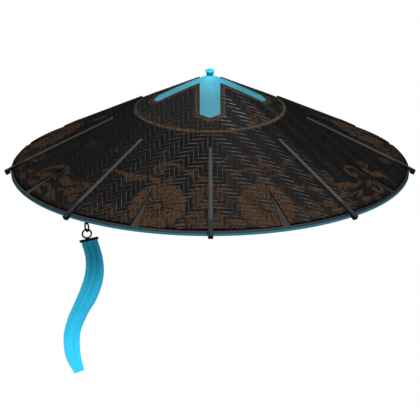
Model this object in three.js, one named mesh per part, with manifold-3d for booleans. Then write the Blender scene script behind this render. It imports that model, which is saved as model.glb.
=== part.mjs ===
// A wide conical samurai hat: a cloth-lined cone under a woven cover, with eight ribs, a button and a ribbon drop.
// Millimetres, +Z up, the wearer's front along -Y. The origin is on the axis, where the head meets the lining.
import * as THREE from 'three';
import { mergeVertices } from 'three/addons/utils/BufferGeometryUtils.js';
import Module from 'manifold-3d';

const wasm = await Module();
wasm.setup();

// Driving dimensions. Heights are measured up from the rim plane, and radii from the axis.
const rimRadius = 280;
const slope = 0.5116; // fall of the cone for each millimetre of radius
const headSeatHeight = 124.5;
const gap = 0.3; // clear distance between neighbouring pieces
const roundSegments = 96; // a multiple of 8, so that every rib lies on a ridge between two facets

const lining = { apex: 148.4, wall: 1.6, dropFrom: 100, dropTo: 190, hemWidth: 4.4, hemBevel: 0.7, gores: 8 };
const band = { inner: 205, wall: 1.2, edgeBevel: 0.3 };
const shell = { apex: 150.3, wall: 1.6, outer: 276.6 };
const cross = { halfWidth: 15, shoulder: 72, point: 79.5 };
const notch = { count: 8, tip: 216, width: 12, firstAngle: 22.5 };
const rib = { count: 8, inner: 136, outer: 259.7, innerWidth: 5, outerWidth: 6.5, height: 2.4 };
const hook = { inner: 260, end: 289.3, topAtEnd: 4, slope: 0.5524, thickness: 6.6, width: 7.4 };

// The button on the apex: one row for each ring of its turned outline.
const knobRows = [
  { radius: 4.3, height: 148.4 },
  { radius: 5.0, height: 149.9 },
  { radius: 6.3, height: 150.4 },
  { radius: 6.6, height: 151.3 },
  { radius: 6.4, height: 152.4 },
  { radius: 5.2, height: 153.6 },
  { radius: 2.8, height: 154.3 },
  { radius: 0, height: 154.5 },
];
const knobNeck = 4.3;

// The drop: an eye, two rings and a clamp hang in line, then the ribbon.
const drop = { x: -172.5, y: -210.6 };
const ring = { radius: 6.2, wire: 1, upperCentre: -8.9, upperTurn: -66, lowerTurn: 8 };
const eye = { wire: 0.7, halfWidth: 2.2, turn: 24 };
const clamp = { length: 28, depth: 3.2, height: 2.9, turn: 28, offset: 2.6 };
const bail = { hole: 1.6, outer: 2.8, thickness: 1.6, turn: 18 };

// The ribbon's cross-sections, measured from the drop's line and down from the clamp's underside.
const ribbonRows = [
  { across: 2.6, forward: -1.2, below: 0.3, width: 25.1, turn: 27, fold: 1.7 },
  { across: 8.8, forward: 4.7, below: 20.8, width: 25.9, turn: 27, fold: 1.7 },
  { across: 10.2, forward: 6.0, below: 42.9, width: 29.3, turn: 28, fold: 1.5 },
  { across: 5.8, forward: 2.0, below: 66.2, width: 33.3, turn: 29, fold: 1.3 },
  { across: -3.0, forward: -5.9, below: 92.1, width: 36.2, turn: 32, fold: 1.1 },
  { across: -13.3, forward: -15.1, below: 116.7, width: 34.8, turn: 36, fold: 0.9 },
  { across: -21.2, forward: -22.3, below: 146.5, width: 31.1, turn: 41, fold: 0.8 },
  { across: -19.7, forward: -21.0, below: 176.0, width: 28.0, turn: 46, fold: 0.8 },
  { across: -11.6, forward: -13.6, below: 197.8, width: 19.8, turn: 48, fold: 0.6 },
];
const ribbon = { thickness: 1.8, pleats: 2, stepsAcross: 12, stepsDown: 24 };

// Heights down the drop, each resting on the one above.
const lowerRingCentre = ring.upperCentre - 2 * (ring.radius - ring.wire) + gap;
const lowestWire = lowerRingCentre - ring.radius;
const bailCentre = lowestWire + ring.wire + gap - bail.hole;
const clampTop = lowestWire - ring.wire - gap;
const clampUnder = clampTop - clamp.height;

const materials = {
  cloth: new THREE.MeshStandardMaterial({ color: 0x52b4cf, roughness: 0.75, metalness: 0 }),
  lacquer: new THREE.MeshStandardMaterial({ color: 0x1e1c1b, roughness: 0.45, metalness: 0 }),
  band: new THREE.MeshStandardMaterial({ color: 0x424242, roughness: 0.6, metalness: 0 }),
  cane: new THREE.MeshStandardMaterial({ color: 0x4e4e4e, roughness: 0.55, metalness: 0 }),
  hook: new THREE.MeshStandardMaterial({ color: 0x353535, roughness: 0.5, metalness: 0.2 }),
  wire: new THREE.MeshStandardMaterial({ color: 0x161616, roughness: 0.35, metalness: 0.8 }),
  ribbon: new THREE.MeshStandardMaterial({ color: 0x2fb4dc, roughness: 0.6, metalness: 0 }),
};

const liningTop = (radius) => {
  const share = (radius - lining.dropFrom) / (lining.dropTo - lining.dropFrom);
  const fall = THREE.MathUtils.clamp(share, 0, 1) * (band.wall + gap);
  return lining.apex - slope * radius - fall;
};
const liningUnder = (radius) => liningTop(radius) - lining.wall;
const bandTop = (radius) => lining.apex - slope * radius;
const shellTop = (radius) => shell.apex - slope * radius;
const hookTop = (radius) => hook.topAtEnd + (hook.end - radius) * hook.slope;

// A solid of revolution about Z. The profile runs counter-clockwise, as [radius, height] pairs.
function turned(profile, segments = roundSegments) {
  const points = profile.map(([radius, height]) => new THREE.Vector2(radius, height));
  return new THREE.LatheGeometry(points, segments).rotateX(Math.PI / 2);
}

function closedRing(profile) {
  return turned([...profile, profile[0]]);
}

function shapeFrom(points) {
  return new THREE.Shape(points.map(([x, y]) => new THREE.Vector2(x, y)));
}

function extruded(points, depth) {
  return new THREE.ExtrudeGeometry(shapeFrom(points), { depth, bevelEnabled: false });
}

// The geometry as a solid that can be cut, without the zero-width triangles that a lathe leaves on its axis.
function solidFrom(geometry) {
  const bare = geometry.clone();
  bare.deleteAttribute('normal');
  bare.deleteAttribute('uv');
  const merged = mergeVertices(bare, 1e-4);
  const corners = [];
  for (let i = 0; i < merged.index.count; i += 3) {
    const [a, b, c] = [0, 1, 2].map((k) => merged.index.getX(i + k));
    if (a !== b && b !== c && c !== a) corners.push(a, b, c);
  }
  return new wasm.Manifold(new wasm.Mesh({
    numProp: 3,
    vertProperties: Float32Array.from(merged.attributes.position.array),
    triVerts: Uint32Array.from(corners),
  }));
}

function geometryFrom(solid) {
  const mesh = solid.getMesh();
  const geometry = new THREE.BufferGeometry();
  geometry.setAttribute('position', new THREE.BufferAttribute(Float32Array.from(mesh.vertProperties), 3));
  geometry.setIndex(new THREE.BufferAttribute(Uint32Array.from(mesh.triVerts), 1));
  geometry.computeVertexNormals();
  return geometry;
}

// The lining's outline: a cloth cone that steps down under the rim band and ends in a rolled hem.
function liningCone() {
  const hemInner = rimRadius - lining.hemWidth;
  const hemTop = liningTop(rimRadius);
  return turned([
    [0, liningUnder(0)],
    [lining.dropFrom, liningUnder(lining.dropFrom)],
    [lining.dropTo, liningUnder(lining.dropTo)],
    [hemInner, liningUnder(hemInner)],
    [hemInner, lining.hemBevel],
    [hemInner + lining.hemBevel, 0],
    [rimRadius - lining.hemBevel, 0],
    [rimRadius, lining.hemBevel],
    [rimRadius, hemTop - lining.hemBevel],
    [rimRadius - lining.hemBevel, liningTop(rimRadius - lining.hemBevel)],
    [lining.dropTo, liningTop(lining.dropTo)],
    [lining.dropFrom, liningTop(lining.dropFrom)],
    [0, liningTop(0)],
  ]);
}

// One gore of the lining, around +X. Its sides lie half a gap inside the seams.
function goreGeometry(cone) {
  const half = Math.PI / lining.gores;
  const tip = (gap / 2) / Math.sin(half);
  const far = rimRadius * 1.4;
  const below = 5;
  const sector = extruded([
    [tip, 0],
    [tip + far * Math.cos(half), -far * Math.sin(half)],
    [tip + far * Math.cos(half), far * Math.sin(half)],
  ], lining.apex + 2 * below).translate(0, 0, -below);
  return geometryFrom(cone.intersect(solidFrom(sector)));
}

function bandGeometry() {
  const edge = rimRadius - band.edgeBevel;
  return closedRing([
    [band.inner, bandTop(band.inner) - band.wall],
    [rimRadius, bandTop(rimRadius) - band.wall],
    [rimRadius, bandTop(rimRadius) - band.edgeBevel],
    [edge, bandTop(edge)],
    [band.inner, bandTop(band.inner)],
  ]);
}

// One arm of the crown's cut-out, pointing along +X, from past the axis to its point.
function crossArm() {
  return extruded([
    [-cross.halfWidth, -cross.halfWidth],
    [cross.shoulder, -cross.halfWidth],
    [cross.point, 0],
    [cross.shoulder, cross.halfWidth],
    [-cross.halfWidth, cross.halfWidth],
  ], shell.apex + 10);
}

function notchCutter() {
  const beyond = rimRadius + 10;
  const halfWidth = (notch.width / 2) * (beyond - notch.tip) / (shell.outer - notch.tip);
  return extruded([[notch.tip, 0], [beyond, -halfWidth], [beyond, halfWidth]], shell.apex);
}

function shellGeometry() {
  const under = (radius) => shellTop(radius) - shell.wall;
  let solid = solidFrom(turned([
    [0, under(0)],
    [shell.outer, under(shell.outer)],
    [shell.outer, shellTop(shell.outer)],
    [0, shellTop(0)],
  ]));
  for (let i = 0; i < 4; i += 1) {
    solid = solid.subtract(solidFrom(crossArm().rotateZ(i * Math.PI / 2)));
  }
  for (let i = 0; i < notch.count; i += 1) {
    const angle = THREE.MathUtils.degToRad(notch.firstAngle + i * 360 / notch.count);
    solid = solid.subtract(solidFrom(notchCutter().rotateZ(angle)));
  }
  return geometryFrom(solid);
}

// A rib along +X: a tapered bar, sheared down to the cone's slope.
function ribGeometry() {
  const [innerHalf, outerHalf] = [rib.innerWidth / 2, rib.outerWidth / 2];
  const bar = extruded([
    [rib.inner, -innerHalf],
    [rib.outer, -outerHalf],
    [rib.outer, outerHalf],
    [rib.inner, innerHalf],
  ], rib.height);
  bar.applyMatrix4(new THREE.Matrix4().makeShear(0, -slope, 0, 0, 0, 0));
  return bar.translate(0, 0, shell.apex + gap);
}

// A hook along +X: a strap on the shell and the band, then a thick end that turns down outside the hem.
function hookGeometry() {
  const shellEdge = shell.outer + gap;
  const hemEdge = rimRadius + gap;
  const fall = Math.atan(hook.slope);
  const lowCorner = {
    radius: hook.end - hook.thickness * Math.sin(fall),
    height: hook.topAtEnd - hook.thickness * Math.cos(fall),
  };
  const side = extruded([
    [hook.inner, shellTop(hook.inner) + gap],
    [shellEdge, shellTop(shellEdge) + gap],
    [shellEdge, bandTop(shellEdge) + gap],
    [hemEdge, bandTop(hemEdge) + gap],
    [hemEdge, lowCorner.height + (lowCorner.radius - hemEdge) * hook.slope],
    [lowCorner.radius, lowCorner.height],
    [hook.end, hook.topAtEnd],
    [hook.inner, hookTop(hook.inner)],
  ], hook.width);
  return side.rotateX(Math.PI / 2).translate(0, hook.width / 2, 0);
}

// The button: a turned bead whose hollowed foot sits on the lining's apex.
function knobGeometry() {
  return turned([
    [0, liningTop(0) + gap],
    [knobNeck, liningTop(knobNeck) + gap],
    ...knobRows.map((row) => [row.radius, row.height]),
  ], 32);
}

function ringGeometry() {
  return new THREE.TorusGeometry(ring.radius, ring.wire, 10, 40).rotateX(Math.PI / 2);
}

// The eye: a U of wire whose two ends stop just under the lining, and whose bow carries the upper ring.
function eyeGeometry() {
  const turn = THREE.MathUtils.degToRad(eye.turn);
  const along = { x: Math.cos(turn), y: Math.sin(turn) };
  const ringWireCentre = ring.upperCentre + ring.radius;
  const bowBottom = ringWireCentre - ring.wire - gap - eye.wire;
  const bowCentre = bowBottom + eye.halfWidth;
  const at = (sideways, height) => new THREE.Vector3(along.x * sideways, along.y * sideways, height);
  const legTop = (sideways) => {
    const radius = Math.hypot(drop.x + along.x * sideways, drop.y + along.y * sideways);
    return liningUnder(radius + eye.wire) - gap;
  };
  const points = [at(-eye.halfWidth, legTop(-eye.halfWidth))];
  const bowSteps = 10;
  for (let i = 0; i <= bowSteps; i += 1) {
    const angle = Math.PI + i * Math.PI / bowSteps;
    points.push(at(eye.halfWidth * Math.cos(angle), bowCentre + eye.halfWidth * Math.sin(angle)));
  }
  points.push(at(eye.halfWidth, legTop(eye.halfWidth)));
  const route = new THREE.CatmullRomCurve3(points, false, 'centripetal');
  const wireSides = 8;
  const section = [];
  for (let i = 0; i < wireSides; i += 1) {
    const angle = i * 2 * Math.PI / wireSides;
    section.push([eye.wire * Math.cos(angle), eye.wire * Math.sin(angle)]);
  }
  return new THREE.ExtrudeGeometry(shapeFrom(section), { steps: 28, extrudePath: route, bevelEnabled: false });
}

// The clamp: a bar along its own X, with a drilled bail around the lower ring's wire. Its origin is the bail's hole.
function clampGeometry() {
  const bailTurn = THREE.MathUtils.degToRad(bail.turn - clamp.turn);
  const bar = new THREE.BoxGeometry(clamp.length, clamp.depth, clamp.height)
    .translate(clamp.offset, 0, clampTop - clamp.height / 2 - bailCentre);
  const disc = (radius, length) => new THREE.CylinderGeometry(radius, radius, length, 24)
    .rotateZ(Math.PI / 2)
    .rotateZ(bailTurn);
  const solid = solidFrom(bar)
    .add(solidFrom(disc(bail.outer, bail.thickness)))
    .subtract(solidFrom(disc(bail.hole, 3 * bail.thickness)));
  return geometryFrom(solid);
}

// The ribbon: a band lofted down its rows, with soft pleats across it and a wall of even thickness.
function ribbonGeometry() {
  const route = new THREE.CatmullRomCurve3(
    ribbonRows.map((row) => new THREE.Vector3(row.across, -row.forward, clampUnder - row.below)));
  const sizes = new THREE.CatmullRomCurve3(
    ribbonRows.map((row) => new THREE.Vector3(row.width, row.turn, row.fold)));
  const across = ribbon.stepsAcross;
  const positions = [];
  for (let row = 0; row <= ribbon.stepsDown; row += 1) {
    const centre = route.getPoint(row / ribbon.stepsDown);
    const size = sizes.getPoint(row / ribbon.stepsDown);
    const turn = THREE.MathUtils.degToRad(size.y);
    for (const face of [1, -1]) {
      for (let i = 0; i <= across; i += 1) {
        const share = face * (i / across - 0.5);
        const pleat = size.z * Math.cos(2 * Math.PI * ribbon.pleats * share);
        const out = pleat + face * ribbon.thickness / 2;
        positions.push(
          centre.x + share * size.x * Math.cos(turn) + out * Math.sin(turn),
          centre.y + share * size.x * Math.sin(turn) - out * Math.cos(turn),
          centre.z,
        );
      }
    }
  }
  const around = 2 * (across + 1);
  const index = [];
  for (let row = 0; row < ribbon.stepsDown; row += 1) {
    for (let i = 0; i < around; i += 1) {
      const [a, b] = [row * around + i, row * around + (i + 1) % around];
      index.push(a, a + around, b, b, a + around, b + around);
    }
  }
  const lastRow = ribbon.stepsDown * around;
  for (let i = 0; i < across; i += 1) {
    const opposite = around - 1 - i;
    index.push(i, i + 1, opposite, i + 1, opposite - 1, opposite);
    index.push(lastRow + i, lastRow + opposite, lastRow + i + 1);
    index.push(lastRow + i + 1, lastRow + opposite, lastRow + opposite - 1);
  }
  const geometry = new THREE.BufferGeometry();
  geometry.setAttribute('position', new THREE.Float32BufferAttribute(positions, 3));
  geometry.setIndex(index);
  geometry.computeVertexNormals();
  return geometry;
}

function piece(name, geometry, material) {
  const mesh = new THREE.Mesh(geometry, material);
  mesh.name = name;
  return mesh;
}

// Eight alike gores, each under a rib, with the seams under the notches.
function liningGores() {
  const group = new THREE.Group();
  const cone = solidFrom(liningCone());
  for (let i = 0; i < lining.gores; i += 1) {
    const gore = piece(`lining_${i}`, goreGeometry(cone), materials.cloth);
    gore.rotation.z = i * 2 * Math.PI / lining.gores;
    group.add(gore);
  }
  return group;
}

function ribsAndHooks() {
  const group = new THREE.Group();
  for (let i = 0; i < rib.count; i += 1) {
    const spoke = new THREE.Group();
    spoke.rotation.z = i * 2 * Math.PI / rib.count;
    spoke.add(piece(`rib_${i}`, ribGeometry(), materials.cane));
    spoke.add(piece(`rib_hook_${i}`, hookGeometry(), materials.hook));
    group.add(spoke);
  }
  return group;
}

function ribbonDrop() {
  const group = new THREE.Group();
  group.position.set(drop.x, drop.y, 0);
  group.add(piece('ribbon_eye', eyeGeometry(), materials.wire));

  const upper = piece('ring_upper', ringGeometry(), materials.wire);
  upper.position.z = ring.upperCentre;
  upper.rotation.z = THREE.MathUtils.degToRad(ring.upperTurn);
  group.add(upper);

  const lower = piece('ring_lower', ringGeometry(), materials.wire);
  lower.position.z = lowerRingCentre;
  lower.rotation.z = THREE.MathUtils.degToRad(ring.lowerTurn);
  group.add(lower);

  const bar = piece('ribbon_clamp', clampGeometry(), materials.wire);
  bar.position.z = bailCentre;
  bar.rotation.z = THREE.MathUtils.degToRad(clamp.turn);
  group.add(bar);

  group.add(piece('ribbon', ribbonGeometry(), materials.ribbon));
  return group;
}

const hat = new THREE.Group();
hat.position.z = -headSeatHeight;
hat.add(liningGores());
hat.add(piece('rim_band', bandGeometry(), materials.band));
hat.add(piece('woven_shell', shellGeometry(), materials.lacquer));
hat.add(piece('knob', knobGeometry(), materials.cloth));
hat.add(ribsAndHooks());
hat.add(ribbonDrop());

export default hat;
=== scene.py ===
"""A wide conical samurai hat: woven cover, ribs, cloth lining and a ribbon drop."""
from functools import partialmethod
from math import atan, atan2, copysign, cos, degrees, hypot, pi, radians, sin, sqrt, tan

import bmesh
import bpy
import numpy as np
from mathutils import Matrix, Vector


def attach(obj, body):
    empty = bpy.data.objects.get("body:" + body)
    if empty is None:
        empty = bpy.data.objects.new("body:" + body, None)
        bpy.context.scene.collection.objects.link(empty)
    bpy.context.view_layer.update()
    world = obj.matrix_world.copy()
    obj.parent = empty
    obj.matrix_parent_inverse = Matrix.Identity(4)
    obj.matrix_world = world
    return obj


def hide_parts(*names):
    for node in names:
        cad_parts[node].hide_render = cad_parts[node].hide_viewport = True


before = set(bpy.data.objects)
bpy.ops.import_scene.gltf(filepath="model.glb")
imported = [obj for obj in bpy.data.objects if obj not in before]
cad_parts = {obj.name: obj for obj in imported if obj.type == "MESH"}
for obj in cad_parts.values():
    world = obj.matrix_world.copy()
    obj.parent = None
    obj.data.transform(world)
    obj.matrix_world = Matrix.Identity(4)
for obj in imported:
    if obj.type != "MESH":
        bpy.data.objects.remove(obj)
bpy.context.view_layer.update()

# Sizes in millimetres above the rim plane, as the part was drawn. The row frame starts at the head seat.
MM = 0.001
SEAT = 124.5
SLOPE = 0.5116
STEEP = hypot(1, SLOPE)
SHELL_APEX, SHELL_OUTER, SHELL_WALL = 150.3, 276.8, 1.6
CROWN_EDGE, CROWN_DIP = 98.0, 1.3
LINING_APEX, LINING_WALL = 148.4, 1.6
BAND_INNER, BAND_WALL = 205, 1.2
CROSS_HALF, CROSS_SHOULDER, CROSS_POINT, CROSS_SLANT = 14.6, 73.2, 80.7, 0.5
CROSS_STEEP = hypot(1, CROSS_SLANT)
RIBS = 8
NOTCH_TIP, NOTCH_HALF = 216, 6.4
NOTCH_SPREAD = NOTCH_HALF / (SHELL_OUTER - NOTCH_TIP)
NOTCH_DEGREES = [(i + 0.5) * 360 / RIBS for i in range(RIBS)]
FIRST_NOTCH = radians(NOTCH_DEGREES[0])
RIB_TURN = 2 * pi / RIBS
RIB_INNER, RIB_OUTER = 136, 259.7
DROP_X, DROP_Y = -172.5, -210.6
RING_RADIUS, RING_WIRE, UPPER_CENTRE, LOWER_CENTRE = 6.3, 1.2, -8.9, -18.95
CLAMP_TOP, CLAMP_UNDER, BAIL_CENTRE = -26.5, -29.4, -25.5

# The raised lip round the cover's outline, and the weave: from strip to strip, and the outermost strip.
LIP = 0.8
PITCH = 6.7
LAST_STRIP = 42

# Sides of a turned skin, and the distance in metres under which two points are one.
LATHE_SIDES = 320
WELD = 1e-6
rng = np.random.default_rng(7)


# Camera and light

def link(obj):
    bpy.context.scene.collection.objects.link(obj)


def aim(obj, target):
    """Turns a camera or a light towards a point."""
    obj.rotation_euler = (Vector(target) - obj.location).to_track_quat("-Z", "Y").to_euler()


def add_camera():
    """A long lens at the photograph's angle, about 18 degrees above the rim."""
    data = bpy.data.cameras.new("camera")
    data.lens = 1600
    frame_width = 0.59105
    distance = data.lens * frame_width / data.sensor_width
    elevation = radians(18.47)
    target = Vector((0, 0, -0.17895))
    camera = bpy.data.objects.new("camera", data)
    aside = radians(0.17)
    level = cos(elevation)
    camera.location = target + distance * Vector((-sin(aside) * level, -cos(aside) * level, sin(elevation)))
    data.clip_start, data.clip_end = 1, distance * 2
    link(camera)
    aim(camera, target)
    bpy.context.scene.camera = camera


def add_sun(name, azimuth, elevation, strength, spread):
    """A soft light that makes no highlights. Azimuth is where it comes from, counter-clockwise from +X."""
    data = bpy.data.lights.new(name, "SUN")
    data.energy, data.angle = strength, radians(spread)
    sun = bpy.data.objects.new(name, data)
    sun.visible_glossy = False
    a, e = radians(azimuth), radians(elevation)
    sun.location = 3 * Vector((cos(a) * cos(e), sin(a) * cos(e), sin(e)))
    link(sun)
    aim(sun, (0, 0, 0))


def add_world(to_eye, to_surfaces, to_gloss):
    """An even white room: how bright it is to the eye, to matt surfaces and in reflections."""
    world = bpy.data.worlds.new("studio")
    bpy.context.scene.world = world
    world.use_nodes = True
    tree = world.node_tree
    background = tree.nodes["Background"]
    ray = tree.nodes.new("ShaderNodeLightPath")
    level = to_surfaces
    for kind, value in (("Is Glossy Ray", to_gloss), ("Is Camera Ray", to_eye)):
        step = tree.nodes.new("ShaderNodeMapRange")
        tree.links.new(ray.outputs[kind], step.inputs["Value"])
        if isinstance(level, float):
            step.inputs["To Min"].default_value = level
        else:
            tree.links.new(level, step.inputs["To Min"])
        step.inputs["To Max"].default_value = value
        level = step.outputs[0]
    tree.links.new(level, background.inputs["Strength"])


def add_floor():
    """A white floor under the hat: plain white to the eye, and a soft bounce for the underside."""
    mesh = bpy.data.meshes.new("floor")
    half, height = 6, -0.36
    corners = [(-half, -half, height), (half, -half, height), (half, half, height), (-half, half, height)]
    mesh.from_pydata(corners, [], [(0, 1, 2, 3)])
    floor = bpy.data.objects.new("floor", mesh)
    link(floor)
    material = bpy.data.materials.new("floor_white")
    material.use_nodes = True
    tree = material.node_tree
    ray = tree.nodes.new("ShaderNodeLightPath")
    matt = tree.nodes.new("ShaderNodeBsdfDiffuse")
    matt.inputs["Color"].default_value = (0.5, 0.5, 0.5, 1)
    shaded = tree.nodes.new("ShaderNodeBsdfDiffuse")
    shaded.inputs["Color"].default_value = (0.05, 0.05, 0.05, 1)
    lit = tree.nodes.new("ShaderNodeEmission")
    lit.inputs["Strength"].default_value = 1.0
    surface = matt.outputs[0]
    for kind, other in (("Is Glossy Ray", shaded), ("Is Camera Ray", lit)):
        blend = tree.nodes.new("ShaderNodeMixShader")
        tree.links.new(ray.outputs[kind], blend.inputs[0])
        tree.links.new(surface, blend.inputs[1])
        tree.links.new(other.outputs[0], blend.inputs[2])
        surface = blend.outputs[0]
    tree.links.new(surface, tree.nodes["Material Output"].inputs["Surface"])
    mesh.materials.append(material)


# Materials

def linear(value):
    """A 0 to 255 screen value as a share of light."""
    return ((value / 255 + 0.055) / 1.055) ** 2.4 if value > 10 else value / 255 / 12.92


class Shader:
    """A procedural material. Values may be numbers, screen colours or the sockets of other nodes."""

    def __init__(self, name, roughness, specular):
        self.material = bpy.data.materials.new(name)
        self.material.use_nodes = True
        self.tree = self.material.node_tree
        self.surface = self.tree.nodes["Principled BSDF"]
        self.set("Roughness", roughness)
        self.set("Specular IOR Level", specular)

    def new(self, kind):
        return self.tree.nodes.new("ShaderNode" + kind)

    def feed(self, socket, value):
        """Links a socket to another one, or sets it."""
        if isinstance(value, bpy.types.NodeSocket):
            self.tree.links.new(value, socket)
        elif socket.type == "RGBA":
            socket.default_value = (*map(linear, value), 1)
        else:
            socket.default_value = value

    def set(self, name, value):
        self.feed(self.surface.inputs[name], value)

    def attribute(self, name, output="Fac"):
        made = self.new("Attribute")
        made.attribute_name = name
        return made.outputs[output]

    def place(self):
        """The point on the object, in millimetres from the head seat."""
        return self.stretch(self.new("TexCoord").outputs["Object"], (1000, 1000, 1000))

    def stretch(self, vector, scale):
        made = self.new("VectorMath")
        made.operation = "MULTIPLY"
        self.feed(made.inputs[0], vector)
        made.inputs[1].default_value = scale
        return made.outputs[0]

    def parts(self, vector):
        made = self.new("SeparateXYZ")
        self.feed(made.inputs[0], vector)
        return made.outputs[0], made.outputs[1], made.outputs[2]

    def upward(self):
        """How far the surface faces up, from -1 to 1."""
        return self.parts(self.new("NewGeometry").outputs["Normal"])[2]

    def math(self, operation, *values):
        made = self.new("Math")
        made.operation = operation
        for socket, value in zip(made.inputs, values):
            self.feed(socket, value)
        return made.outputs[0]

    times = partialmethod(math, "MULTIPLY")
    plus = partialmethod(math, "ADD")
    minus = partialmethod(math, "SUBTRACT")
    share = partialmethod(math, "DIVIDE")
    most = partialmethod(math, "MAXIMUM")
    size = partialmethod(math, "ABSOLUTE")
    sine = partialmethod(math, "SINE")

    def length(self, x, y):
        return self.math("SQRT", self.plus(self.times(x, x), self.times(y, y)))

    def polar(self, place):
        """How far a point is from the axis, and how far round to the right and the front, from -1 to 1."""
        x, y, _ = self.parts(place)
        radius = self.length(x, y)
        return radius, self.share(x, radius), self.share(self.times(y, -1), radius)

    def noise(self, vector, scale, detail=2, roughness=0.5):
        made = self.new("TexNoise")
        self.feed(made.inputs["Vector"], vector)
        made.inputs["Scale"].default_value = scale
        made.inputs["Detail"].default_value = detail
        made.inputs["Roughness"].default_value = roughness
        return made.outputs[0]

    def grey(self, value):
        made = self.new("CombineXYZ")
        for socket in made.inputs:
            self.feed(socket, value)
        return made.outputs[0]

    def ramp(self, value, low, high, at_low=0, at_high=1, smooth=True):
        """at_low where the value is low, at_high where it is high, and a slope between."""
        made = self.new("MapRange")
        made.interpolation_type = "SMOOTHSTEP" if smooth else "LINEAR"
        for name, number in (("Value", value), ("From Min", low), ("From Max", high),
                             ("To Min", at_low), ("To Max", at_high)):
            self.feed(made.inputs[name], number)
        return made.outputs[0]

    def mix(self, share, first, second, blend="MIX"):
        made = self.new("Mix")
        made.data_type = "RGBA"
        made.blend_type = blend
        self.feed(made.inputs[0], share)
        self.feed(made.inputs[6], first)
        self.feed(made.inputs[7], second)
        return made.outputs[2]

    def fade(self, value, low, high, first, second, blend="MIX"):
        """The first colour where the value is low, and the second where it is high."""
        return self.mix(self.ramp(value, low, high), first, second, blend)

    def relief(self, height, distance):
        """Raises the surface where height is large, by distance metres."""
        made = self.new("Bump")
        made.inputs["Strength"].default_value = 1.0
        made.inputs["Distance"].default_value = distance
        self.feed(made.inputs["Height"], height)
        self.set("Normal", made.outputs[0])


# Pieces

def set_attribute(mesh, name, values):
    """A number, or a vector, at each point of a mesh."""
    kind, field = ("FLOAT_VECTOR", "vector") if np.ndim(values) == 2 else ("FLOAT", "value")
    layer = mesh.attributes.new(name, kind, "POINT")
    layer.data.foreach_set(field, np.asarray(values, dtype=np.float32).ravel())


def new_mesh(name, points, faces, **attributes):
    """A mesh from points in millimetres above the rim plane."""
    mesh = bpy.data.meshes.new(name)
    placed = np.asarray(points, dtype=float) * MM
    placed[:, 2] -= SEAT * MM
    mesh.from_pydata(placed.tolist(), [], faces)
    for attribute, values in attributes.items():
        set_attribute(mesh, attribute, values)
    return mesh


def finish_piece(name, mesh, shader, replaces, sharp):
    """A visible piece on the root body, shaded smooth where its faces meet at less than sharp degrees."""
    mesh.validate()
    mesh.shade_smooth()
    mesh.set_sharp_from_angle(angle=radians(sharp))
    obj = bpy.data.objects.new(name, mesh)
    link(obj)
    mesh.materials.append(shader.material)
    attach(obj, "root")
    if replaces:
        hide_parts(*replaces)
    return obj


def add_piece(name, points, faces, shader, slot, replaces, sharp, **attributes):
    return finish_piece(name, new_mesh(name, points, faces, **attributes), shader, replaces, sharp)


def grid_faces(rows, columns, closed=False):
    """Quads between rings of points that are stored one after another. closed joins the last to the first."""
    faces = []
    for i in range(rows if closed else rows - 1):
        a, b = i * columns, (i + 1) % rows * columns
        for j in range(columns):
            k = (j + 1) % columns
            faces.append((a + j, b + j, b + k, a + k))
    return faces


def lathe(profile):
    """A turned skin from a closed profile of (radius, height) pairs."""
    radius, height = np.asarray(profile, dtype=float).T
    angles = np.linspace(0, 2 * np.pi, LATHE_SIDES, endpoint=False)
    points = np.stack([np.outer(np.cos(angles), radius), np.outer(np.sin(angles), radius),
                       np.tile(height, (LATHE_SIDES, 1))], axis=2).reshape(-1, 3)
    return points, grid_faces(LATHE_SIDES, len(profile), closed=True)


def weld(obj):
    """Joins points that lie in one place, and turns the faces outwards."""
    mesh = bmesh.new()
    mesh.from_mesh(obj.data)
    bmesh.ops.remove_doubles(mesh, verts=mesh.verts, dist=WELD)
    bmesh.ops.recalc_face_normals(mesh, faces=mesh.faces)
    mesh.to_mesh(obj.data)
    mesh.free()


def smooth_rows(rows, steps):
    """Rows of numbers run through by a smooth curve, steps to a row."""
    p = np.asarray(rows, dtype=float)
    p = np.vstack([2 * p[0] - p[1], p, 2 * p[-1] - p[-2]])
    t = np.linspace(0, 1, steps, endpoint=False)[:, None]
    out = []
    for a, b, c, d in zip(p[:-3], p[1:-2], p[2:-1], p[3:]):
        out.append(0.5 * (2 * b + (c - a) * t + (2 * a - 5 * b + 4 * c - d) * t ** 2
                          + (3 * b - a - 3 * c + d) * t ** 3))
    return np.vstack(out + [p[-2:-1]])


# The woven cover

def crown_dip(radius):
    """How far the crown lies below a true cone."""
    return CROWN_DIP * np.clip(1 - radius / CROWN_EDGE, 0, 1)


def lifted(x, y, lift):
    """Points that stand lift above the cover's middle surface, square to it."""
    radius = np.maximum(np.hypot(x, y), 1e-6)
    side = lift * SLOPE / STEEP
    z = SHELL_APEX - SHELL_WALL / 2 - SLOPE * radius + lift / STEEP - crown_dip(radius)
    return np.stack([x + side * x / radius, y + side * y / radius, z], axis=-1)


def notch_frame(x, y):
    """Each point seen from its nearest notch: distance out along it, and distance to its side."""
    angle = np.arctan2(y, x) - FIRST_NOTCH
    turn = np.round(angle / RIB_TURN) * RIB_TURN
    radius = np.hypot(x, y)
    return radius * np.cos(angle - turn), radius * np.sin(angle - turn)


def cross_distance(x, y):
    """How far a point is from the cross cut in the crown, negative inside it."""
    long, short = np.maximum(np.abs(x), np.abs(y)), np.minimum(np.abs(x), np.abs(y))
    side = short - CROSS_HALF
    end = (long + CROSS_SLANT * short - CROSS_POINT) / CROSS_STEEP
    past_shoulder = long - CROSS_SHOULDER
    in_corner = (side > 0) & (past_shoulder > 0) & (past_shoulder * CROSS_SLANT < side)
    return np.where(in_corner, np.hypot(past_shoulder, side), np.maximum(side, end))


def over(i, j):
    """1 where the strip along Y lies on top in a three over, three under twill that mirrors at the middle."""
    return np.where((np.abs(i) - np.abs(j) + 1) % 6 < 3, 1, -1)


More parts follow.
